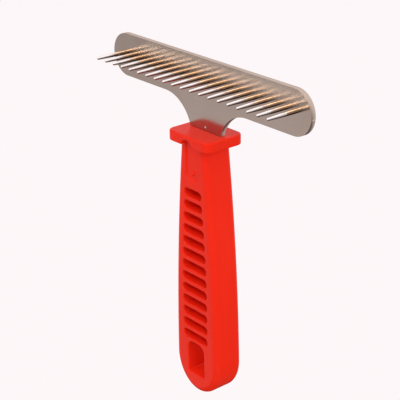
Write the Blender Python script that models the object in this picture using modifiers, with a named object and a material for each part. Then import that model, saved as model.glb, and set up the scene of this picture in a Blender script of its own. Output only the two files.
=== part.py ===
"""Undercoat rake: a moulded grip, a T-shaped steel head plate and one row of twenty fixed pins.

Units are metres and +Z is up. The origin is the centre of the head plate's front face, on the pin row.
The pins point to -Y, the head plate runs along X and the grip hangs down along -Z.
"""

import math

import bmesh
import bpy
from mathutils import Matrix

MM = 0.001
CLEARANCE = 0.3 * MM

# Head plate
PLATE_THICKNESS = 2.0 * MM
BAR_HALF_LENGTH = 54.7 * MM
BAR_TOP = 7.6 * MM
BAR_BOTTOM = -9.2 * MM
LOWER_EDGE_FALL = 0.05 * MM
NECK_HALF_WIDTH = 7.7 * MM
NECK_FILLET = 15.0 * MM
TANG_HALF_WIDTH = 4.6 * MM
TANG_SHOULDER_DEPTH = 2.5 * MM
TANG_DEPTH = 19.8 * MM
TANG_SHOULDER_FILLET = 0.8 * MM
PUNCH_MARK_RADIUS = 0.6 * MM
PUNCH_MARK_DEPTH = 0.6 * MM
PUNCH_MARK_HEIGHT = 1.5 * MM

# Pins
PIN_COUNT = 20
PIN_PITCH = 5.0 * MM
PIN_LENGTH = 13.2 * MM
PIN_BASE_RADIUS = 0.88 * MM
PIN_TIP_RADIUS = 0.54 * MM
PIN_BASE_GAP = 0.2 * MM
SHANK_RADIUS = 0.6 * MM
PIN_HOLE_RADIUS = 0.92 * MM
PEEN_RADIUS = 1.25 * MM
PEEN_HEIGHT = 0.75 * MM
PIN_SIDES = 12

# Grip and collar, with depths measured down from the collar's top face
COLLAR_TOP = -19.6 * MM
COLLAR_THICKNESS = 4.1 * MM
COLLAR_HALF_WIDTH = 11.7 * MM
COLLAR_HALF_DEPTH = 8.9 * MM
COLLAR_CORNER = 3.2 * MM
COLLAR_EDGE = 0.6 * MM
ROOT_FILLET = 1.0 * MM
GRIP_HALF_WIDTH = 12.35 * MM
GRIP_TAPER = 5.7 * MM
GRIP_WIDEST_DEPTH = 98.3 * MM
GRIP_HALF_DEPTH = 6.5 * MM
GRIP_CORNER = 2.6 * MM
GRIP_OFFSET = 1.1 * MM
GRIP_LENGTH = 107.6 * MM
ARCH_HEIGHT = 14.5 * MM
ARCH_EDGE = 2.4 * MM
CORNER_STEPS = 6

# Grip slots, one column on the front and one on the back
SLOT_COUNT = 13
SLOT_PITCH = 5.0 * MM
SLOT_FIRST_DEPTH = 23.3 * MM
SLOT_HEIGHT = 3.3 * MM
SLOT_SIDE_MARGIN = 4.25 * MM
SLOT_MOST_HALF_WIDTH = 7.0 * MM
SLOT_CUT = 5.0 * MM

# Hang hole
HANG_TOP_DEPTH = 86.2 * MM
HANG_BOTTOM_DEPTH = 100.0 * MM
HANG_HALF_WIDTH = 4.7 * MM
HANG_TOP_CORNER = 3.2 * MM
HANG_BOTTOM_CORNER = 0.4 * MM

# Thumb groove and gate mark
GROOVE_TOP_DEPTH = 1.6 * MM
GROOVE_BOTTOM_DEPTH = 18.3 * MM
GROOVE_HALF_WIDTH = 3.6 * MM
GROOVE_CUT = 0.7 * MM
GROOVE_REACH = 4.0 * MM
GATE_MARK_DEPTH = 15.2 * MM
GATE_MARK_RADIUS = 0.8 * MM

MID_Y = PLATE_THICKNESS / 2
GRIP_Y = MID_Y - GRIP_OFFSET
GRIP_FRONT = GRIP_Y - GRIP_HALF_DEPTH
GRIP_BACK = GRIP_Y + GRIP_HALF_DEPTH
GRIP_END = COLLAR_TOP - GRIP_LENGTH


def clear_scene():
    for obj in list(bpy.data.objects):
        bpy.data.objects.remove(obj, do_unlink=True)


def new_collection(name):
    collection = bpy.data.collections.new(name)
    bpy.context.scene.collection.children.link(collection)
    return collection


def principled(name, color, metallic, roughness):
    material = bpy.data.materials.new(name)
    material.use_nodes = True
    shader = material.node_tree.nodes["Principled BSDF"]
    shader.inputs["Base Color"].default_value = (*color, 1.0)
    shader.inputs["Metallic"].default_value = metallic
    shader.inputs["Roughness"].default_value = roughness
    material.diffuse_color = (*color, 1.0)
    return material


def object_from_bmesh(bm, name, collection, material=None):
    """Turns the bmesh into an object with outward faces."""
    bmesh.ops.recalc_face_normals(bm, faces=bm.faces)
    mesh = bpy.data.meshes.new(name)
    bm.to_mesh(mesh)
    bm.free()
    if material:
        mesh.materials.append(material)
    obj = bpy.data.objects.new(name, mesh)
    collection.objects.link(obj)
    return obj


def hide_cutter(obj):
    obj.hide_render = True
    obj.display_type = "WIRE"
    return obj


def cut(target, cutter):
    modifier = target.modifiers.new("cut_" + cutter.name, "BOOLEAN")
    modifier.operation = "DIFFERENCE"
    modifier.solver = "EXACT"
    modifier.object = cutter
    return modifier


def triangulate(target):
    modifier = target.modifiers.new("triangles", "TRIANGULATE")
    modifier.quad_method = "BEAUTY"
    modifier.ngon_method = "BEAUTY"
    return modifier


def arc(center_x, center_z, radius, start_deg, end_deg, steps):
    """Points of an arc in the XZ plane, as (x, z) pairs."""
    points = []
    for i in range(steps + 1):
        angle = math.radians(start_deg + (end_deg - start_deg) * i / steps)
        points.append((center_x + radius * math.cos(angle), center_z + radius * math.sin(angle)))
    return points


def flat_solid(name, outline, y_low, y_high, collection, material=None):
    """A closed XZ outline as a filled 2D curve, extruded along Y and made a mesh."""
    curve = bpy.data.curves.new(name + "_outline", "CURVE")
    curve.dimensions = "2D"
    curve.fill_mode = "BOTH"
    curve.extrude = (y_high - y_low) / 2
    spline = curve.splines.new("POLY")
    spline.points.add(len(outline) - 1)
    for point, (x, z) in zip(spline.points, outline):
        point.co = (x, z, 0.0, 1.0)
    spline.use_cyclic_u = True
    holder = bpy.data.objects.new(name + "_outline", curve)
    collection.objects.link(holder)
    # The outline's second axis is stood up to +Z, which turns its extrusion along Y.
    holder.matrix_world = Matrix.Translation((0, (y_low + y_high) / 2, 0)) @ Matrix.Rotation(math.pi / 2, 4, "X")
    bpy.context.view_layer.update()
    graph = bpy.context.evaluated_depsgraph_get()
    mesh = bpy.data.meshes.new_from_object(holder.evaluated_get(graph))
    placed = holder.matrix_world.copy()
    bpy.data.objects.remove(holder, do_unlink=True)
    bm = bmesh.new()
    bm.from_mesh(mesh)
    bpy.data.meshes.remove(mesh)
    bmesh.ops.remove_doubles(bm, verts=bm.verts, dist=0.00001)
    # The fill's triangles become one flat face on each side.
    bmesh.ops.dissolve_limit(bm, angle_limit=math.radians(0.5), verts=bm.verts, edges=bm.edges)
    bmesh.ops.transform(bm, matrix=placed, verts=bm.verts)
    return object_from_bmesh(bm, name, collection, material)


def turned(name, profile, sides, collection, material=None):
    """A (radius, height) profile, listed top to bottom, screwed round Z."""
    mesh = bpy.data.meshes.new(name)
    points = [(radius, 0.0, height) for radius, height in profile]
    edges = [(i, i + 1) for i in range(len(points) - 1)]
    mesh.from_pydata(points, edges, [])
    if material:
        mesh.materials.append(material)
    obj = bpy.data.objects.new(name, mesh)
    collection.objects.link(obj)
    screw = obj.modifiers.new("turn", "SCREW")
    screw.axis = "Z"
    screw.steps = sides
    screw.render_steps = sides
    screw.use_merge_vertices = True
    screw.merge_threshold = 0.00001
    screw.use_smooth_shade = True
    return obj


def mirrored_outline(half):
    """Closes an outline from its right half, listed from the top centre down to the bottom centre."""
    left = [(-x, z) for x, z in reversed(half) if x > 0.00001]
    return half + left


def neck_fillet(grow):
    """The concave arc from the bar's lower edge, which falls a little towards the neck, into the collar."""
    radius = NECK_FILLET - grow
    center_z = BAR_BOTTOM - LOWER_EDGE_FALL - NECK_FILLET
    stop_z = COLLAR_TOP - TANG_SHOULDER_DEPTH + TANG_SHOULDER_FILLET
    stop_deg = 180 - math.degrees(math.asin((stop_z - center_z) / radius))
    return arc(NECK_HALF_WIDTH + NECK_FILLET, center_z, radius, 90, stop_deg, 14)


def bar_outline():
    """The right half of the bar, round its end, along its lower edge and down the neck's fillet."""
    end_radius = (BAR_TOP - BAR_BOTTOM) / 2
    end_x = BAR_HALF_LENGTH - end_radius
    end_z = (BAR_TOP + BAR_BOTTOM) / 2
    half = [(0.0, BAR_TOP)]
    half += arc(end_x, end_z, end_radius, 90, -90, 20)
    half += neck_fillet(0.0)
    return half


def tang_outline(grow):
    """The right half of the neck's shoulder and the tang, from the neck's side to the tang's end."""
    shoulder = COLLAR_TOP - TANG_SHOULDER_DEPTH
    bottom = COLLAR_TOP - TANG_DEPTH - grow
    neck = neck_fillet(0.0)[-1][0]
    fillet = TANG_SHOULDER_FILLET
    end_fillet = 2 * fillet
    half = arc(neck - fillet, shoulder + fillet, fillet + grow, 0, -90, 4)
    root_z = shoulder - LOWER_EDGE_FALL - fillet
    half += arc(TANG_HALF_WIDTH + fillet, root_z, fillet - grow, 90, 180, 4)
    half += arc(TANG_HALF_WIDTH + grow - end_fillet, bottom + end_fillet, end_fillet, 0, -90, 5)
    half += [(0.0, bottom)]
    return half


def make_plate(parts, cutters, steel):
    half = bar_outline() + tang_outline(0.0)
    plate = flat_solid("head_plate", mirrored_outline(half), 0.0, PLATE_THICKNESS, parts, steel)
    bm = bmesh.new()
    for index in range(PIN_COUNT):
        bmesh.ops.create_cone(
            bm,
            cap_ends=True,
            segments=PIN_SIDES,
            radius1=PIN_HOLE_RADIUS,
            radius2=PIN_HOLE_RADIUS,
            depth=3 * PLATE_THICKNESS,
            matrix=Matrix.Translation((pin_x(index), MID_Y, 0.0)) @ Matrix.Rotation(math.pi / 2, 4, "X"),
        )
    bmesh.ops.create_cone(
        bm,
        cap_ends=True,
        segments=16,
        radius1=PUNCH_MARK_RADIUS * 0.6,
        radius2=PUNCH_MARK_RADIUS * 1.4,
        depth=2 * PUNCH_MARK_DEPTH,
        matrix=Matrix.Translation((0.0, 0.0, COLLAR_TOP + PUNCH_MARK_HEIGHT)) @ Matrix.Rotation(math.pi / 2, 4, "X"),
    )
    cut(plate, hide_cutter(object_from_bmesh(bm, "plate_holes", cutters)))
    triangulate(plate)
    return plate


def pin_x(index):
    return (index - (PIN_COUNT - 1) / 2) * PIN_PITCH


def pin_profile():
    """A domed tip, a long taper, a shank through the plate and a peened head behind it, tip first."""
    profile = []
    dome_center = PIN_LENGTH - PIN_TIP_RADIUS
    for step in range(5):
        angle = math.radians(90 - 90 * step / 4)
        profile.append((PIN_TIP_RADIUS * math.cos(angle), dome_center + PIN_TIP_RADIUS * math.sin(angle)))
    profile[0] = (0.0, PIN_LENGTH)
    profile.append((PIN_BASE_RADIUS * 0.93, PIN_LENGTH * 0.35))
    profile.append((PIN_BASE_RADIUS, PIN_BASE_GAP))
    profile.append((SHANK_RADIUS, PIN_BASE_GAP))
    back = -PLATE_THICKNESS - PIN_BASE_GAP
    profile.append((SHANK_RADIUS, back))
    profile.append((PEEN_RADIUS, back))
    for step in range(1, 4):
        angle = math.radians(90 * step / 4)
        profile.append((PEEN_RADIUS * math.cos(angle), back - PEEN_HEIGHT * math.sin(angle)))
    profile.append((0.0, back - PEEN_HEIGHT))
    return profile


def make_pins(parts, steel, root):
    first = None
    for index in range(PIN_COUNT):
        name = f"pin_{index + 1:02d}"
        if first is None:
            first = turned(name, pin_profile(), PIN_SIDES, parts, steel)
            pin = first
        else:
            pin = bpy.data.objects.new(name, first.data)
            parts.objects.link(pin)
            screw = pin.modifiers.new("turn", "SCREW")
            screw.axis = "Z"
            screw.steps = PIN_SIDES
            screw.render_steps = PIN_SIDES
            screw.use_merge_vertices = True
            screw.merge_threshold = 0.00001
            screw.use_smooth_shade = True
        # The turned axis lies along Y with the tip towards -Y.
        pin.rotation_euler = (math.pi / 2, 0.0, 0.0)
        pin.location = (pin_x(index), 0.0, 0.0)
        pin.parent = root


def rounded_rectangle(half_x, half_y, radius):
    """A closed ring of points round a rectangle centred on the grip's mid plane."""
    radius = min(radius, 0.98 * half_x, 0.98 * half_y)
    ring = []
    for quarter in range(4):
        sign_x = (1, -1, -1, 1)[quarter]
        sign_y = (1, 1, -1, -1)[quarter]
        for step in range(CORNER_STEPS + 1):
            angle = math.radians(90 * quarter + 90 * step / CORNER_STEPS)
            x = sign_x * (half_x - radius) + radius * math.cos(angle)
            y = GRIP_Y + sign_y * (half_y - radius) + radius * math.sin(angle)
            ring.append((x, y))
    return ring


def grip_half_width(depth):
    """The grip widens down to its widest depth and then keeps its width."""
    left = max(0.0, 1.0 - depth / GRIP_WIDEST_DEPTH)
    return GRIP_HALF_WIDTH - GRIP_TAPER * left * left


def grip_sections():
    """(depth, half width, half depth, corner radius) from the collar's top face to the arch's end."""
    sections = []
    for step in range(4):
        angle = math.radians(30 * step)
        inset = COLLAR_EDGE * (1 - math.sin(angle))
        depth = COLLAR_EDGE * (1 - math.cos(angle))
        sections.append((depth, COLLAR_HALF_WIDTH - inset, COLLAR_HALF_DEPTH - inset, COLLAR_CORNER - inset))
    for step in range(4):
        angle = math.radians(30 * step)
        inset = COLLAR_EDGE * (1 - math.cos(angle))
        depth = COLLAR_THICKNESS - COLLAR_EDGE * (1 - math.sin(angle))
        sections.append((depth, COLLAR_HALF_WIDTH - inset, COLLAR_HALF_DEPTH - inset, COLLAR_CORNER - inset))
    for step in range(4):
        angle = math.radians(30 * step)
        outset = ROOT_FILLET * (1 - math.sin(angle))
        depth = COLLAR_THICKNESS + 0.05 * MM + ROOT_FILLET * (1 - math.cos(angle))
        width = grip_half_width(depth)
        sections.append((depth, width + outset, GRIP_HALF_DEPTH + outset, GRIP_CORNER + outset))
    straight = GRIP_LENGTH - ARCH_HEIGHT
    start = COLLAR_THICKNESS + ROOT_FILLET
    for step in range(1, 13):
        depth = start + (straight - start) * step / 12
        sections.append((depth, grip_half_width(depth), GRIP_HALF_DEPTH, GRIP_CORNER))
    for step in range(1, 15):
        angle = math.radians(87.5 * step / 14)
        depth = straight + ARCH_HEIGHT * math.sin(angle)
        width = grip_half_width(depth) * math.cos(angle)
        near_end = max(0.0, (depth - (GRIP_LENGTH - ARCH_EDGE)) / ARCH_EDGE)
        half_depth = GRIP_HALF_DEPTH - ARCH_EDGE * (1 - math.sqrt(1 - min(1.0, near_end) ** 2))
        sections.append((depth, width, half_depth, GRIP_CORNER))
    return sections


def make_grip_body(collection, plastic):
    """A loft between unlike rounded rectangles, from the collar's top down to the arched end."""
    bm = bmesh.new()
    rings = []
    for depth, half_x, half_y, radius in grip_sections():
        ring = [bm.verts.new((x, y, COLLAR_TOP - depth)) for x, y in rounded_rectangle(half_x, half_y, radius)]
        rings.append(ring)
    count = len(rings[0])
    for upper, lower in zip(rings, rings[1:]):
        for i in range(count):
            j = (i + 1) % count
            bm.faces.new((upper[i], upper[j], lower[j], lower[i]))
    bm.faces.new(rings[0])
    bm.faces.new(list(reversed(rings[-1])))
    return object_from_bmesh(bm, "handle", collection, plastic)


def stadium(half_width, half_height, center_z, steps):
    """A long hole with half-round ends, centred on x = 0."""
    straight = half_width - half_height
    outline = arc(straight, center_z, half_height, -90, 90, steps)
    outline += arc(-straight, center_z, half_height, 90, 270, steps)
    return outline


def make_slots(cutters):
    """All grip slots as one cutter: the same column from the front and from the back."""
    pieces = []
    for index in range(SLOT_COUNT):
        depth = SLOT_FIRST_DEPTH + index * SLOT_PITCH
        half_width = min(grip_half_width(depth) - SLOT_SIDE_MARGIN, SLOT_MOST_HALF_WIDTH)
        outline = stadium(half_width, SLOT_HEIGHT / 2, COLLAR_TOP - depth, 8)
        spans = ((GRIP_FRONT - SLOT_CUT, GRIP_FRONT + SLOT_CUT), (GRIP_BACK - SLOT_CUT, GRIP_BACK + SLOT_CUT))
        for low, high in spans:
            pieces.append(flat_solid("slot_piece", outline, low, high, cutters))
    bm = bmesh.new()
    for piece in pieces:
        bm.from_mesh(piece.data)
        bpy.data.objects.remove(piece, do_unlink=True)
    return hide_cutter(object_from_bmesh(bm, "grip_slots", cutters))


def make_hang_hole(cutters):
    top = COLLAR_TOP - HANG_TOP_DEPTH
    bottom = COLLAR_TOP - HANG_BOTTOM_DEPTH
    wide = HANG_HALF_WIDTH
    big = HANG_TOP_CORNER
    small = HANG_BOTTOM_CORNER
    half = [(0.0, top)]
    half += arc(wide - big, top - big, big, 90, 0, 8)
    half += arc(wide - small, bottom + small, small, 0, -90, 3)
    half += [(0.0, bottom)]
    low = GRIP_FRONT - 2 * MM
    high = GRIP_BACK + 2 * MM
    return hide_cutter(flat_solid("hang_hole_cut", mirrored_outline(half), low, high, cutters))


def make_socket(cutters):
    """The pocket that holds the neck and the tang, open at the collar's top."""
    half = neck_fillet(CLEARANCE) + tang_outline(CLEARANCE)
    low = -CLEARANCE
    high = PLATE_THICKNESS + CLEARANCE
    return hide_cutter(flat_solid("tang_socket", mirrored_outline(half), low, high, cutters))


def make_groove(cutters):
    """A long round-ended cutter that leaves a shallow flat hollow and notches the collar's lower edge."""
    radius = GROOVE_HALF_WIDTH
    half = arc(0.0, COLLAR_TOP - GROOVE_TOP_DEPTH - radius, radius, 90, 0, 10)
    half += arc(0.0, COLLAR_TOP - GROOVE_BOTTOM_DEPTH + radius, radius, 0, -90, 10)
    low = GRIP_FRONT - GROOVE_REACH
    high = GRIP_FRONT + GROOVE_CUT
    return hide_cutter(flat_solid("thumb_groove", mirrored_outline(half), low, high, cutters))


def make_gate_mark(cutters):
    bm = bmesh.new()
    bmesh.ops.create_uvsphere(bm, u_segments=12, v_segments=8, radius=GATE_MARK_RADIUS)
    floor = GRIP_FRONT + GROOVE_CUT * 0.75
    bmesh.ops.transform(
        bm,
        matrix=Matrix.Translation((0.0, floor, COLLAR_TOP - GATE_MARK_DEPTH)),
        verts=bm.verts,
    )
    return hide_cutter(object_from_bmesh(bm, "gate_mark", cutters))


def main():
    clear_scene()
    parts = new_collection("undercoat_rake")
    cutters = new_collection("cutters")
    cutters.hide_render = True
    plastic = principled("red_plastic", (0.76, 0.030, 0.016), 0.0, 0.28)
    plate_steel = principled("plate_steel", (0.50, 0.46, 0.43), 1.0, 0.24)
    pin_steel = principled("pin_steel", (0.62, 0.58, 0.54), 1.0, 0.16)

    root = bpy.data.objects.new("rake_root", None)
    parts.objects.link(root)

    handle = make_grip_body(parts, plastic)
    cut(handle, make_socket(cutters))
    cut(handle, make_slots(cutters))
    cut(handle, make_hang_hole(cutters))
    cut(handle, make_groove(cutters))
    mark = handle.modifiers.new("gate_mark", "BOOLEAN")
    mark.operation = "UNION"
    mark.solver = "EXACT"
    mark.object = make_gate_mark(cutters)
    triangulate(handle)
    handle.parent = root

    plate = make_plate(parts, cutters, plate_steel)
    plate.parent = root
    make_pins(parts, pin_steel, root)


main()
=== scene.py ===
"""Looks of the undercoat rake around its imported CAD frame: moulded red grip, polished steel head and pins."""

import math

import bmesh
import bpy
import numpy as np
from mathutils import Matrix, Vector


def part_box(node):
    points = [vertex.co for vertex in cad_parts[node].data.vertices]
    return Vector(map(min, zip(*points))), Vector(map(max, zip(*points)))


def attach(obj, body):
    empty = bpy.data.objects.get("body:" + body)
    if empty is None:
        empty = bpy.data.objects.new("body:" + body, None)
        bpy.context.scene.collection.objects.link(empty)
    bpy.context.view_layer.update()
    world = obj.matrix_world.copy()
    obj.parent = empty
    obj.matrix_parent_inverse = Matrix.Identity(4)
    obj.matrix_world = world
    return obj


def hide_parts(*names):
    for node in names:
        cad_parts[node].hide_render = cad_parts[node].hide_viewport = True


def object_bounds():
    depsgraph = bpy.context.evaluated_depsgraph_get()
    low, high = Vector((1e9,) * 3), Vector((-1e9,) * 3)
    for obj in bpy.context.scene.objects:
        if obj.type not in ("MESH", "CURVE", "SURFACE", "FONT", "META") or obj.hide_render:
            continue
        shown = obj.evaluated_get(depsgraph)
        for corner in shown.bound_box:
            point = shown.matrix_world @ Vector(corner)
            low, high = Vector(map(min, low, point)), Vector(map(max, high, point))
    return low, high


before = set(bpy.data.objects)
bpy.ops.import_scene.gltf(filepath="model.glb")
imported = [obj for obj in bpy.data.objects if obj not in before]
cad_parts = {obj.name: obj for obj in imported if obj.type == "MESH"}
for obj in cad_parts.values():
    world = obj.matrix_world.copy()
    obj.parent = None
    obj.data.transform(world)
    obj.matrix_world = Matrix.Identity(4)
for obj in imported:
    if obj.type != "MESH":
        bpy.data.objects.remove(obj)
cad_low, cad_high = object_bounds()

MM = 0.001

# Sizes of the CAD solids, in millimetres
PLATE_THICKNESS = 2.0
BAR_HALF_LENGTH = 54.7
BAR_TOP = 7.6
BAR_BOTTOM = -9.2
NECK_HALF_WIDTH = 7.7
NECK_FILLET = 15.0
TANG_HALF_WIDTH = 4.6
TANG_SHOULDER_DEPTH = 2.5
TANG_DEPTH = 19.8
PUNCH_MARK_RADIUS = 0.6
PUNCH_MARK_Z = -18.1
PIN_COUNT = 20
PIN_LENGTH = 13.2
PIN_BASE_RADIUS = 0.88
PIN_TIP_RADIUS = 0.54
PEEN_RADIUS = 1.25
COLLAR_TOP = -19.6
COLLAR_THICKNESS = 4.1
COLLAR_HALF_WIDTH = 11.7
COLLAR_HALF_DEPTH = 8.9
COLLAR_CORNER = 3.2
COLLAR_EDGE = 0.6
ROOT_FILLET = 1.0
GRIP_HALF_WIDTH = 12.35
GRIP_TAPER = 5.7
GRIP_WIDEST_DEPTH = 98.3
GRIP_HALF_DEPTH = 6.5
GRIP_CORNER = 2.6
GRIP_Y = -0.1
GRIP_LENGTH = 107.6
ARCH_HEIGHT = 14.5
SLOT_COUNT = 13
SLOT_PITCH = 5.0
SLOT_FIRST_DEPTH = 23.3
SLOT_HEIGHT = 3.3
SLOT_SIDE_MARGIN = 4.25
SLOT_MOST_HALF_WIDTH = 7.0
SLOT_CUT = 5.0
HANG_TOP_DEPTH = 86.2
HANG_BOTTOM_DEPTH = 100.0
HANG_HALF_WIDTH = 4.7
HANG_TOP_CORNER = 3.2
HANG_BOTTOM_CORNER = 0.6
GROOVE_TOP_DEPTH = 1.6
GROOVE_BOTTOM_DEPTH = 18.3
GROOVE_HALF_WIDTH = 3.6
GROOVE_CUT = 0.7
GATE_MARK_DEPTH = 15.2
GATE_MARK_RADIUS = 0.8

# Sizes of the visual model only, in millimetres. Its pins stand on the plate without the
# CAD's gaps, so the peened heads are higher by one gap, and the socket fits closely.
PUNCH_MARK_DEPTH = 0.6
PEEN_HEIGHT = 0.95
SHOULDER_RADIUS = 0.8
PLATE_EDGE_RADIUS = 0.32
SLOT_FLOOR_RADIUS = 0.5
RIM_RADIUS = 0.38
GROOVE_FLOOR_RADIUS = 0.6
GROOVE_RIM_RADIUS = 0.35
GATE_MARK_FILLET = 0.25
GRIP_INSIDE_COLLAR = 1.0
SOCKET_GAP = 0.04
SOCKET_END_GAP = 0.1
SOCKET_END_RADIUS = 0.3
SOCKET_RIM_RADIUS = 0.12
NET_STEP = 0.4
NET_MARGIN = 0.9

PIN_SIDES = 28

# Camera fitted to the object's outline: focal length in millimetres, place in metres
CAMERA_LENS = 112.13
CAMERA_PLACE = (0.32982, -0.27246, 0.13437)
CAMERA_RIGHT = (0.63836, 0.76953, -0.01790)
CAMERA_UP = (-0.28990, 0.26190, 0.92053)
CAMERA_BACK = (0.71306, -0.58244, 0.39027)

# Backdrop, and brightness of what mirrors see against the height of the ray
PALE = (0.983, 0.930, 0.947)
MIDDLE = (cad_low + cad_high) / 2
SKY = [
    (-1.0, 0.70),
    (-0.40, 0.84),
    (-0.33, 0.76),
    (-0.27, 0.54),
    (-0.10, 0.55),
    (0.05, 0.75),
    (0.38, 0.72),
    (0.60, 1.5),
    (1.0, 1.3),
]
DARK_DIRECTION = (0.25, 0.0, -0.97)
DARK_COLOR = (0.06, 0.035, 0.025)
DARK_STARTS = 0.34
DARK_FULL = 0.60
DARK_AMOUNT = 0.96
DIFFUSE_SHARE = 0.80


# ---------------------------------------------------------------- distances


def rounded_both(a, b, radius):
    """The space inside both distances, with their common edge rounded."""
    outside = np.hypot(np.maximum(a + radius, 0), np.maximum(b + radius, 0))
    return np.minimum(np.maximum(a + radius, b + radius), 0) + outside - radius


def rounded_either(a, b, radius):
    """The space inside either distance, with a fillet where they meet."""
    inside = np.hypot(np.maximum(radius - a, 0), np.maximum(radius - b, 0))
    return np.maximum(radius, np.minimum(a, b)) - inside


def grip_half_width(depth):
    left = np.maximum(0.0, 1.0 - depth / GRIP_WIDEST_DEPTH)
    return GRIP_HALF_WIDTH - GRIP_TAPER * left * left


def grip_distance(x, y, depth):
    """The tapered shaft with its arched end."""
    width = grip_half_width(depth)
    below = np.maximum(depth - (GRIP_LENGTH - ARCH_HEIGHT), 0.0)
    ratio = np.hypot(x / width, below / ARCH_HEIGHT)
    slope = np.maximum(np.hypot(x / width**2, below / ARCH_HEIGHT**2), 1e-6)
    side = np.where(below > 0, ratio * (ratio - 1) / slope, np.abs(x) - width)
    body = rounded_both(side, np.abs(y - GRIP_Y) - GRIP_HALF_DEPTH, GRIP_CORNER)
    return np.maximum(body, GRIP_INSIDE_COLLAR - depth)


def collar_distance(x, y, depth):
    across = np.abs(x) - (COLLAR_HALF_WIDTH - COLLAR_CORNER)
    along = np.abs(y - GRIP_Y) - (COLLAR_HALF_DEPTH - COLLAR_CORNER)
    plan = np.hypot(np.maximum(across, 0), np.maximum(along, 0))
    plan = plan + np.minimum(np.maximum(across, along), 0) - COLLAR_CORNER
    slab = np.abs(depth - COLLAR_THICKNESS / 2) - COLLAR_THICKNESS / 2
    return rounded_both(plan, slab, COLLAR_EDGE)


def slots_distance(x, y, depth):
    """The nearest slot of the front and back columns."""
    index = np.clip(np.round((depth - SLOT_FIRST_DEPTH) / SLOT_PITCH), 0, SLOT_COUNT - 1)
    middle = SLOT_FIRST_DEPTH + index * SLOT_PITCH
    half_width = np.minimum(grip_half_width(middle) - SLOT_SIDE_MARGIN, SLOT_MOST_HALF_WIDTH)
    straight = half_width - SLOT_HEIGHT / 2
    outline = np.hypot(np.maximum(np.abs(x) - straight, 0), depth - middle) - SLOT_HEIGHT / 2
    floor = (GRIP_HALF_DEPTH - SLOT_CUT) - np.abs(y - GRIP_Y)
    return rounded_both(outline, floor, SLOT_FLOOR_RADIUS)


def hang_hole_distance(x, depth):
    """A window with a widely rounded top and nearly square lower corners."""
    middle = (HANG_TOP_DEPTH + HANG_BOTTOM_DEPTH) / 2
    half_height = (HANG_BOTTOM_DEPTH - HANG_TOP_DEPTH) / 2
    corner = np.where(depth < middle, HANG_TOP_CORNER, HANG_BOTTOM_CORNER)
    across = np.abs(x) - (HANG_HALF_WIDTH - corner)
    along = np.abs(depth - middle) - (half_height - corner)
    outside = np.hypot(np.maximum(across, 0), np.maximum(along, 0))
    return outside + np.minimum(np.maximum(across, along), 0) - corner


def groove_distance(x, y, depth):
    """A long round-ended hollow in the front, which also notches the collar's lower edge."""
    middle = (GROOVE_TOP_DEPTH + GROOVE_BOTTOM_DEPTH) / 2
    stretch = (GROOVE_BOTTOM_DEPTH - GROOVE_TOP_DEPTH) / 2 - GROOVE_HALF_WIDTH
    outline = np.hypot(x, np.maximum(np.abs(depth - middle) - stretch, 0)) - GROOVE_HALF_WIDTH
    floor = y - (GRIP_Y - GRIP_HALF_DEPTH + GROOVE_CUT)
    return rounded_both(outline, floor, GROOVE_FLOOR_RADIUS)


def neck_half_width(z):
    """Half the plate's width at a height between the bar and the shoulder."""
    rise = z - (BAR_BOTTOM - NECK_FILLET)
    reach = np.sqrt(np.maximum(NECK_FILLET**2 - rise * rise, 0.0))
    return NECK_HALF_WIDTH + NECK_FILLET - reach


def socket_distance(x, y, depth):
    """The closely fitting hollow round the neck's lower end and the tang."""
    slab = np.abs(y - PLATE_THICKNESS / 2) - PLATE_THICKNESS / 2 - SOCKET_GAP
    beside_neck = np.abs(x) - neck_half_width(COLLAR_TOP - depth) - SOCKET_GAP
    below_neck = depth - TANG_SHOULDER_DEPTH - SOCKET_END_GAP
    neck = rounded_both(beside_neck, below_neck, SOCKET_END_RADIUS)
    beside_tang = np.abs(x) - TANG_HALF_WIDTH - SOCKET_GAP
    below_tang = depth - TANG_DEPTH - SOCKET_END_GAP
    tang = rounded_both(beside_tang, below_tang, SOCKET_END_RADIUS)
    return np.maximum(np.minimum(neck, tang), slab)


def handle_distance(points):
    """The whole moulded grip: negative inside, in millimetres."""
    x, y, z = points[:, 0], points[:, 1], points[:, 2]
    depth = COLLAR_TOP - z
    solid = rounded_either(grip_distance(x, y, depth), collar_distance(x, y, depth), ROOT_FILLET)
    solid = rounded_both(solid, -groove_distance(x, y, depth), GROOVE_RIM_RADIUS)
    floor = GRIP_Y - GRIP_HALF_DEPTH + 0.75 * GROOVE_CUT
    nub = np.sqrt(x * x + (y - floor) ** 2 + (depth - GATE_MARK_DEPTH) ** 2) - GATE_MARK_RADIUS
    solid = rounded_either(solid, nub, GATE_MARK_FILLET)
    solid = rounded_both(solid, -slots_distance(x, y, depth), RIM_RADIUS)
    solid = rounded_both(solid, -hang_hole_distance(x, depth), RIM_RADIUS)
    return rounded_both(solid, -socket_distance(x, y, depth), SOCKET_RIM_RADIUS)


def slope_of(distance, points, reach=0.02):
    """The direction in which the distance grows, at each point."""
    columns = []
    for axis in range(3):
        offset = np.zeros(3)
        offset[axis] = reach
        columns.append((distance(points + offset) - distance(points - offset)) / (2 * reach))
    return np.stack(columns, 1)


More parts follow.
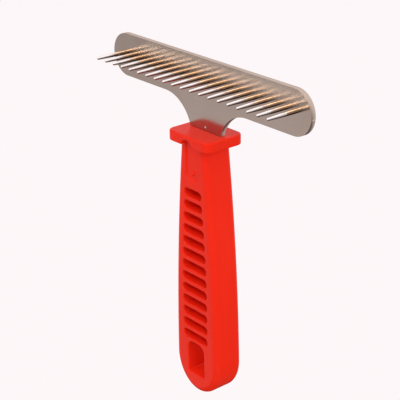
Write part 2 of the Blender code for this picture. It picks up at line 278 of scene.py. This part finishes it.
def surface_net(distance, low, high, step):
    """Points, outward normals and quads of the surface where the distance is zero."""
    counts = [int(math.ceil((b - a) / step)) + 1 for a, b in zip(low, high)]
    lines = [a + step * np.arange(n) for a, n in zip(low, counts)]
    grid = np.stack(np.meshgrid(*lines, indexing="ij"), -1)
    values = distance(grid.reshape(-1, 3)).reshape(counts)
    inside = values < 0
    cells = [n - 1 for n in counts]
    corners = [(i, j, k) for i in (0, 1) for j in (0, 1) for k in (0, 1)]
    filled = sum(
        inside[i : i + cells[0], j : j + cells[1], k : k + cells[2]].astype(int)
        for i, j, k in corners
    )
    active = (filled > 0) & (filled < 8)
    spots = np.argwhere(active)
    index = np.full(cells, -1)
    index[active] = np.arange(len(spots))
    total = np.zeros((len(spots), 3))
    hits = np.zeros(len(spots))
    for corner in corners:
        for axis in range(3):
            if corner[axis]:
                continue
            unit = np.eye(3, dtype=int)[axis]
            start = values[tuple((spots + corner).T)]
            end = values[tuple((spots + corner + unit).T)]
            crossed = (start < 0) != (end < 0)
            share = np.where(crossed, start / np.where(crossed, start - end, 1.0), 0.0)
            total[crossed] += (spots + corner + share[:, None] * unit)[crossed]
            hits += crossed
    points = np.array(low) + step * total / hits[:, None]
    quads = []
    for axis in range(3):
        first = np.eye(3, dtype=int)[(axis + 1) % 3]
        second = np.eye(3, dtype=int)[(axis + 2) % 3]
        span = [slice(None)] * 3
        span[axis] = slice(0, -1)
        ahead = [slice(None)] * 3
        ahead[axis] = slice(1, None)
        edges = np.argwhere(inside[tuple(span)] != inside[tuple(ahead)])
        ring = [edges - first - second, edges - second, edges, edges - first]
        quad = np.stack([index[tuple(cell.T)] for cell in ring], 1)
        outward = inside[tuple(edges.T)]
        quads.append(np.where(outward[:, None], quad, quad[:, ::-1]))
    for _ in range(4):
        slope = slope_of(distance, points)
        off = np.clip(distance(points), -0.5 * step, 0.5 * step)
        points = points - off[:, None] * slope / np.maximum((slope**2).sum(1), 0.25)[:, None]
    slope = slope_of(distance, points, 0.05)
    normals = slope / np.maximum(np.linalg.norm(slope, axis=1), 1e-9)[:, None]
    return points, normals, np.concatenate(quads)


# ------------------------------------------------------------------- pieces


def link(name, mesh, material, *nodes):
    """Adds the mesh as a piece that rides on the one body and stands for those CAD nodes."""
    mesh.materials.append(material)
    piece = bpy.data.objects.new(name, mesh)
    bpy.context.scene.collection.objects.link(piece)
    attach(piece, "root")
    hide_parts(*nodes)
    return piece


def smooth(mesh):
    mesh.polygons.foreach_set("use_smooth", [True] * len(mesh.polygons))
    mesh.update()


def make_grip(material):
    bottom = COLLAR_TOP - GRIP_LENGTH
    low = (
        -COLLAR_HALF_WIDTH - NET_MARGIN,
        GRIP_Y - COLLAR_HALF_DEPTH - NET_MARGIN,
        bottom - NET_MARGIN,
    )
    high = (
        COLLAR_HALF_WIDTH + NET_MARGIN,
        GRIP_Y + COLLAR_HALF_DEPTH + NET_MARGIN,
        COLLAR_TOP + NET_MARGIN,
    )
    points, normals, quads = surface_net(handle_distance, low, high, NET_STEP)
    mesh = bpy.data.meshes.new("moulded_grip")
    mesh.from_pydata((points * MM).tolist(), [], quads.tolist())
    smooth(mesh)
    mesh.normals_split_custom_set_from_vertices(normals.tolist())
    return link("moulded_grip", mesh, material, "handle")


def arc(center_x, center_z, radius, start_deg, end_deg, steps):
    angles = [math.radians(start_deg + (end_deg - start_deg) * i / steps) for i in range(steps + 1)]
    return [(center_x + radius * math.cos(a), center_z + radius * math.sin(a)) for a in angles]


def plate_outline():
    """The closed outline of bar, neck and tang, anticlockwise seen from the front."""
    end_radius = (BAR_TOP - BAR_BOTTOM) / 2
    half = arc(BAR_HALF_LENGTH - end_radius, (BAR_TOP + BAR_BOTTOM) / 2, end_radius, 90, -90, 48)
    shoulder = COLLAR_TOP - TANG_SHOULDER_DEPTH
    center_z = BAR_BOTTOM - NECK_FILLET
    corner_z = shoulder + SHOULDER_RADIUS
    stop = 180 - math.degrees(math.asin((corner_z - center_z) / NECK_FILLET))
    half += arc(NECK_HALF_WIDTH + NECK_FILLET, center_z, NECK_FILLET, 90, stop, 40)
    neck = half[-1][0]
    half += arc(neck - SHOULDER_RADIUS, corner_z, SHOULDER_RADIUS, 0, -90, 5)[1:]
    half += [(TANG_HALF_WIDTH, shoulder), (TANG_HALF_WIDTH, COLLAR_TOP - TANG_DEPTH)]
    left = [(-x, z) for x, z in reversed(half)]
    return list(reversed(half + left))


def make_plate(material):
    bm = bmesh.new()
    front = bm.faces.new([bm.verts.new((x * MM, 0.0, z * MM)) for x, z in plate_outline()])
    result = bmesh.ops.extrude_face_region(bm, geom=[front])
    moved = [v for v in result["geom"] if isinstance(v, bmesh.types.BMVert)]
    bmesh.ops.translate(bm, verts=moved, vec=(0, PLATE_THICKNESS * MM, 0))
    bmesh.ops.recalc_face_normals(bm, faces=bm.faces)
    mesh = bpy.data.meshes.new("steel_head")
    bm.to_mesh(mesh)
    bm.free()
    smooth(mesh)
    plate = link("steel_head", mesh, material, "head_plate")
    dimple = bpy.data.meshes.new("dimple_cut")
    bm = bmesh.new()
    bmesh.ops.create_uvsphere(bm, u_segments=24, v_segments=16, radius=PUNCH_MARK_RADIUS * MM)
    middle = (0, (PUNCH_MARK_DEPTH - PUNCH_MARK_RADIUS) * MM, PUNCH_MARK_Z * MM)
    bmesh.ops.translate(bm, verts=bm.verts, vec=middle)
    bm.to_mesh(dimple)
    bm.free()
    cutter = bpy.data.objects.new("dimple_cut", dimple)
    bpy.context.scene.collection.objects.link(cutter)
    cut = plate.modifiers.new("dimple", "BOOLEAN")
    cut.operation = "DIFFERENCE"
    cut.solver = "EXACT"
    cut.object = cutter
    # Known fault: the mark's cutter is centred on the front face, the cut leaves edges of no
    # length, and the bevel's overlap clamp then takes its width to zero.
    bevel = plate.modifiers.new("edges", "BEVEL")
    bevel.width = PLATE_EDGE_RADIUS * MM
    bevel.segments = 4
    bevel.limit_method = "ANGLE"
    bevel.angle_limit = math.radians(40)
    weigh = plate.modifiers.new("flats", "WEIGHTED_NORMAL")
    weigh.mode = "FACE_AREA"
    weigh.weight = 100
    apply_modifiers(plate)
    bpy.data.objects.remove(cutter, do_unlink=True)
    return plate


def apply_modifiers(obj):
    """Replaces the object's mesh by the evaluated one."""
    bpy.context.view_layer.update()
    graph = bpy.context.evaluated_depsgraph_get()
    mesh = bpy.data.meshes.new_from_object(
        obj.evaluated_get(graph), preserve_all_data_layers=True, depsgraph=graph
    )
    obj.modifiers.clear()
    obj.data = mesh


def pin_profile():
    """(radius, y) from the tip to the peened head behind the plate, in millimetres."""
    profile = []
    center = -PIN_LENGTH + PIN_TIP_RADIUS
    for step in range(9):
        angle = math.radians(90 - 90 * step / 8)
        profile.append((PIN_TIP_RADIUS * math.cos(angle), center - PIN_TIP_RADIUS * math.sin(angle)))
    for step in range(1, 13):
        share = step / 12
        grown = PIN_TIP_RADIUS + (PIN_BASE_RADIUS - PIN_TIP_RADIUS) * math.sin(share * math.pi / 2) ** 0.9
        profile.append((grown, center + (-0.15 - center) * share))
    profile.append((PIN_BASE_RADIUS * 1.02, 0.05))
    profile.append((PIN_BASE_RADIUS * 0.9, 0.3))
    back = PLATE_THICKNESS
    profile.append((PIN_BASE_RADIUS * 0.9, back - 0.3))
    for step in range(9):
        angle = math.radians(90 * step / 8)
        profile.append((PEEN_RADIUS * math.cos(angle) ** 0.8, back + PEEN_HEIGHT * math.sin(angle)))
    return profile


def make_pin(index, material):
    name = f"pin_{index + 1:02d}"
    low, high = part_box(name)
    middle = (low.x + high.x) / 2
    height = (low.z + high.z) / 2
    profile = pin_profile()
    bm = bmesh.new()
    rings = []
    for radius, y in profile:
        if radius < 1e-6:
            rings.append([bm.verts.new((middle, y * MM, height))])
            continue
        ring = []
        for i in range(PIN_SIDES):
            angle = 2 * math.pi * i / PIN_SIDES
            x = middle + radius * MM * math.cos(angle)
            z = height + radius * MM * math.sin(angle)
            ring.append(bm.verts.new((x, y * MM, z)))
        rings.append(ring)
    for first, second in zip(rings, rings[1:]):
        for i in range(PIN_SIDES):
            j = (i + 1) % PIN_SIDES
            corners = [
                first[i % len(first)],
                first[j % len(first)],
                second[j % len(second)],
                second[i % len(second)],
            ]
            bm.faces.new(list(dict.fromkeys(corners)))
    bmesh.ops.recalc_face_normals(bm, faces=bm.faces)
    mesh = bpy.data.meshes.new("steel_" + name)
    bm.to_mesh(mesh)
    bm.free()
    smooth(mesh)
    return link("steel_" + name, mesh, material, name)


# ---------------------------------------------------------------- materials


class Nodes:
    """Short helpers for one material's node tree."""

    def __init__(self, name, slot):
        self.material = bpy.data.materials.new(name)
        self.material.use_nodes = True
        self.material["slot"] = slot
        self.tree = self.material.node_tree
        self.shader = self.tree.nodes["Principled BSDF"]
        self.place = self.add("ShaderNodeTexCoord").outputs["Object"]

    def add(self, kind, **values):
        node = self.tree.nodes.new(kind)
        for key, value in values.items():
            setattr(node, key, value)
        return node

    def join(self, source, target):
        self.tree.links.new(source, target)

    def stretched(self, scale):
        mapping = self.add("ShaderNodeMapping")
        mapping.inputs["Scale"].default_value = scale
        self.join(self.place, mapping.inputs["Vector"])
        return mapping.outputs["Vector"]

    def noise(self, scale, detail=3.0, roughness=0.5, vector=None):
        node = self.add("ShaderNodeTexNoise")
        node.inputs["Scale"].default_value = scale
        node.inputs["Detail"].default_value = detail
        node.inputs["Roughness"].default_value = roughness
        self.join(vector or self.place, node.inputs["Vector"])
        return node.outputs["Fac"]

    def ramp(self, value, stops):
        node = self.add("ShaderNodeValToRGB")
        elements = node.color_ramp.elements
        for position, color in stops[:-2]:
            elements.new(position)
        for element, (position, color) in zip(elements, stops):
            element.position = position
            element.color = (*color, 1.0)
        self.join(value, node.inputs["Fac"])
        return node.outputs["Color"]

    def spread(self, value, low, high, from_low=0.3, from_high=0.7):
        node = self.add("ShaderNodeMapRange")
        limits = {"From Min": from_low, "From Max": from_high, "To Min": low, "To Max": high}
        for key, number in limits.items():
            node.inputs[key].default_value = number
        self.join(value, node.inputs["Value"])
        return node.outputs["Result"]

    def math(self, operation, a, b=0.0):
        node = self.add("ShaderNodeMath", operation=operation)
        for socket, value in zip(node.inputs, (a, b)):
            if isinstance(value, (int, float)):
                socket.default_value = value
            else:
                self.join(value, socket)
        return node.outputs["Value"]

    def mix(self, factor, a, b):
        node = self.add("ShaderNodeMix", data_type="RGBA")
        for socket, value in ((node.inputs[0], factor), (node.inputs[6], a), (node.inputs[7], b)):
            if isinstance(value, (int, float)):
                socket.default_value = value
            elif isinstance(value, tuple):
                socket.default_value = (*value, 1.0)
            else:
                self.join(value, socket)
        return node.outputs[2]

    def bump(self, height, strength, distance):
        node = self.add("ShaderNodeBump")
        node.inputs["Strength"].default_value = strength
        node.inputs["Distance"].default_value = distance
        self.join(height, node.inputs["Height"])
        self.join(node.outputs["Normal"], self.shader.inputs["Normal"])


def red_plastic():
    n = Nodes("red_moulded_plastic", "red_plastic")
    slow = n.noise(28.0, 2.0)
    color = n.ramp(slow, [(0.3, (0.82, 0.0215, 0.0068)), (0.7, (0.87, 0.0255, 0.0080))])
    flow = n.noise(1.0, 4.0, vector=n.stretched((260.0, 260.0, 22.0)))
    color = n.mix(n.spread(flow, 0.0, 0.35), color, (0.78, 0.0190, 0.0058))
    n.join(color, n.shader.inputs["Base Color"])
    fine = n.noise(1900.0, 2.0)
    rough = n.math("ADD", n.spread(n.noise(75.0, 4.0), 0.15, 0.22), n.spread(fine, -0.02, 0.03))
    n.join(rough, n.shader.inputs["Roughness"])
    n.shader.inputs["IOR"].default_value = 1.46
    n.shader.inputs["Specular IOR Level"].default_value = 0.12
    n.shader.inputs["Subsurface Weight"].default_value = 0.12
    n.shader.inputs["Subsurface Radius"].default_value = (1.0, 0.08, 0.04)
    n.shader.inputs["Subsurface Scale"].default_value = 0.0015
    waves = n.noise(170.0, 2.0)
    n.bump(n.math("ADD", n.math("MULTIPLY", fine, 0.25), waves), 0.22, 0.00006)
    return n.material


def plate_steel():
    n = Nodes("brushed_plate_steel", "plate_steel")
    grain = n.noise(1.0, 5.0, 0.6, vector=n.stretched((60.0, 60.0, 3200.0)))
    cloud = n.noise(42.0, 4.0)
    color = n.ramp(cloud, [(0.3, (0.49, 0.395, 0.330)), (0.7, (0.54, 0.450, 0.390))])
    color = n.mix(n.spread(grain, 0.0, 0.25), color, (0.43, 0.360, 0.310))
    n.join(color, n.shader.inputs["Base Color"])
    n.shader.inputs["Metallic"].default_value = 1.0
    rough = n.math("ADD", n.spread(cloud, 0.14, 0.21), n.spread(grain, -0.01, 0.02))
    facing = n.add("ShaderNodeSeparateXYZ")
    n.join(n.add("ShaderNodeNewGeometry").outputs["Normal"], facing.inputs["Vector"])
    edge = n.spread(n.math("ABSOLUTE", facing.outputs["Y"]), 0.34, 0.0, 0.4, 0.95)
    n.join(n.math("ADD", rough, edge), n.shader.inputs["Roughness"])
    n.bump(n.math("ADD", n.math("MULTIPLY", grain, 0.3), n.noise(160.0, 3.0)), 0.10, 0.00001)
    return n.material


def pin_steel():
    n = Nodes("polished_pin_steel", "pin_steel")
    along = n.add("ShaderNodeSeparateXYZ")
    n.join(n.place, along.inputs["Vector"])
    # Painted shade and painted reflection: towards the plate the pins' colour turns a dark warm brown, standing
    # in for the shade where they meet the plate and the warm light they reflect.
    base = n.spread(along.outputs["Y"], 0.0, 1.0, -0.0080, -0.0015)
    drift = n.noise(320.0, 3.0)
    base_shade = n.math("MULTIPLY", base, n.spread(drift, 0.75, 1.0))
    color = n.mix(base_shade, (0.76, 0.72, 0.70), (0.50, 0.37, 0.24))
    n.join(color, n.shader.inputs["Base Color"])
    n.shader.inputs["Metallic"].default_value = 1.0
    rings = n.noise(1.0, 3.0, vector=n.stretched((900.0, 2600.0, 900.0)))
    n.join(n.spread(rings, 0.05, 0.12), n.shader.inputs["Roughness"])
    n.bump(rings, 0.06, 0.00001)
    return n.material


# -------------------------------------------------------------------- stage


def make_floor():
    """A pale floor a little below the grip's end."""
    bpy.ops.mesh.primitive_plane_add(size=40.0, location=(0, 0, cad_low.z - 0.05))
    floor = bpy.context.object
    floor.name = "pale_floor"
    material = bpy.data.materials.new("pale_floor")
    material.use_nodes = True
    nodes = material.node_tree.nodes
    shader = nodes["Principled BSDF"]
    shader.inputs["Base Color"].default_value = (0.03, 0.03, 0.03, 1.0)
    shader.inputs["Roughness"].default_value = 1.0
    shader.inputs["Specular IOR Level"].default_value = 0.0
    shader.inputs["Emission Color"].default_value = (*PALE, 1.0)
    shader.inputs["Emission Strength"].default_value = 0.97
    floor.data.materials.append(material)
    floor.visible_glossy = False
    floor.visible_diffuse = False


def make_world():
    """Even pale light for matt surfaces, the plain backdrop for the camera, and for mirrors a sky
    that changes with height, with a dark patch below and a little to the right."""
    world = bpy.data.worlds.new("studio")
    bpy.context.scene.world = world
    world.use_nodes = True
    tree = world.node_tree
    place = tree.nodes.new("ShaderNodeTexCoord").outputs["Generated"]

    def mixed(factor, a, b):
        node = tree.nodes.new("ShaderNodeMix")
        node.data_type = "RGBA"
        for socket, value in ((node.inputs[0], factor), (node.inputs[6], a), (node.inputs[7], b)):
            if isinstance(value, tuple):
                socket.default_value = (*value, 1.0)
            else:
                tree.links.new(value, socket)
        return node.outputs[2]

    split = tree.nodes.new("ShaderNodeSeparateXYZ")
    tree.links.new(place, split.inputs["Vector"])
    spread = tree.nodes.new("ShaderNodeMapRange")
    spread.inputs["From Min"].default_value = -1.0
    spread.inputs["From Max"].default_value = 1.0
    tree.links.new(split.outputs["Z"], spread.inputs["Value"])
    ramp = tree.nodes.new("ShaderNodeValToRGB")
    elements = ramp.color_ramp.elements
    for _ in SKY[:-2]:
        elements.new(0.5)
    for element, (height, value) in zip(elements, SKY):
        element.position = (height + 1) / 2
        element.color = (PALE[0] * value, PALE[1] * value, PALE[2] * value, 1.0)
    tree.links.new(spread.outputs["Result"], ramp.inputs["Fac"])
    toward = tree.nodes.new("ShaderNodeVectorMath")
    toward.operation = "DOT_PRODUCT"
    toward.inputs[1].default_value = DARK_DIRECTION
    tree.links.new(place, toward.inputs[0])
    patch = tree.nodes.new("ShaderNodeMapRange")
    patch.interpolation_type = "SMOOTHSTEP"
    limits = {"From Min": DARK_STARTS, "From Max": DARK_FULL, "To Min": 0.0, "To Max": DARK_AMOUNT}
    for key, value in limits.items():
        patch.inputs[key].default_value = value
    tree.links.new(toward.outputs["Value"], patch.inputs["Value"])
    mirrored = mixed(patch.outputs["Result"], ramp.outputs["Color"], DARK_COLOR)
    glossy = tree.nodes.new("ShaderNodeLightPath").outputs["Is Glossy Ray"]
    seen = tree.nodes.new("ShaderNodeLightPath").outputs["Is Camera Ray"]
    lit = mixed(seen, tuple(DIFFUSE_SHARE * value for value in PALE), PALE)
    back = tree.nodes["Background"]
    tree.links.new(mixed(glossy, lit, mirrored), back.inputs["Color"])
    back.inputs["Strength"].default_value = 1.0


def make_light(
    name, azimuth, elevation, distance, size, power, color=(1.0, 0.95, 0.90), mirrored=True
):
    """A soft square light that faces the object's middle. Azimuth 0 is in front, at -Y."""
    light = bpy.data.lights.new(name, "AREA")
    light.shape = "SQUARE"
    light.size = size
    light.energy = power
    light.color = color
    lamp = bpy.data.objects.new(name, light)
    bpy.context.scene.collection.objects.link(lamp)
    a, e = math.radians(azimuth), math.radians(elevation)
    away = Matrix.Rotation(a, 3, "Z") @ Matrix.Rotation(-e, 3, "X")
    back = away @ Vector((0, -1, 0))
    lamp.location = MIDDLE + back * distance
    lamp.rotation_euler = (-back).to_track_quat("-Z", "Y").to_euler()
    lamp.visible_glossy = mirrored


def make_camera():
    camera = bpy.data.cameras.new("camera")
    camera.sensor_width = 36.0
    camera.lens = CAMERA_LENS
    camera.clip_start = 0.01
    camera.clip_end = 60.0
    eye = bpy.data.objects.new("camera", camera)
    bpy.context.scene.collection.objects.link(eye)
    turn = Matrix((CAMERA_RIGHT, CAMERA_UP, CAMERA_BACK)).transposed().to_4x4()
    eye.matrix_world = Matrix.Translation(CAMERA_PLACE) @ turn
    bpy.context.scene.camera = eye


plastic = red_plastic()
sheet_steel = plate_steel()
wire_steel = pin_steel()
make_grip(plastic)
make_plate(sheet_steel)
for pin_index in range(PIN_COUNT):
    make_pin(pin_index, wire_steel)

make_world()
make_floor()
make_light("side_light", 80, 30, 1.0, 0.7, 3.7, mirrored=False)
make_light("warm_light", 5, 52, 0.9, 0.30, 2.0, color=(1.0, 0.83, 0.62))
make_camera()
bpy.context.scene.view_settings.view_transform = "Standard"
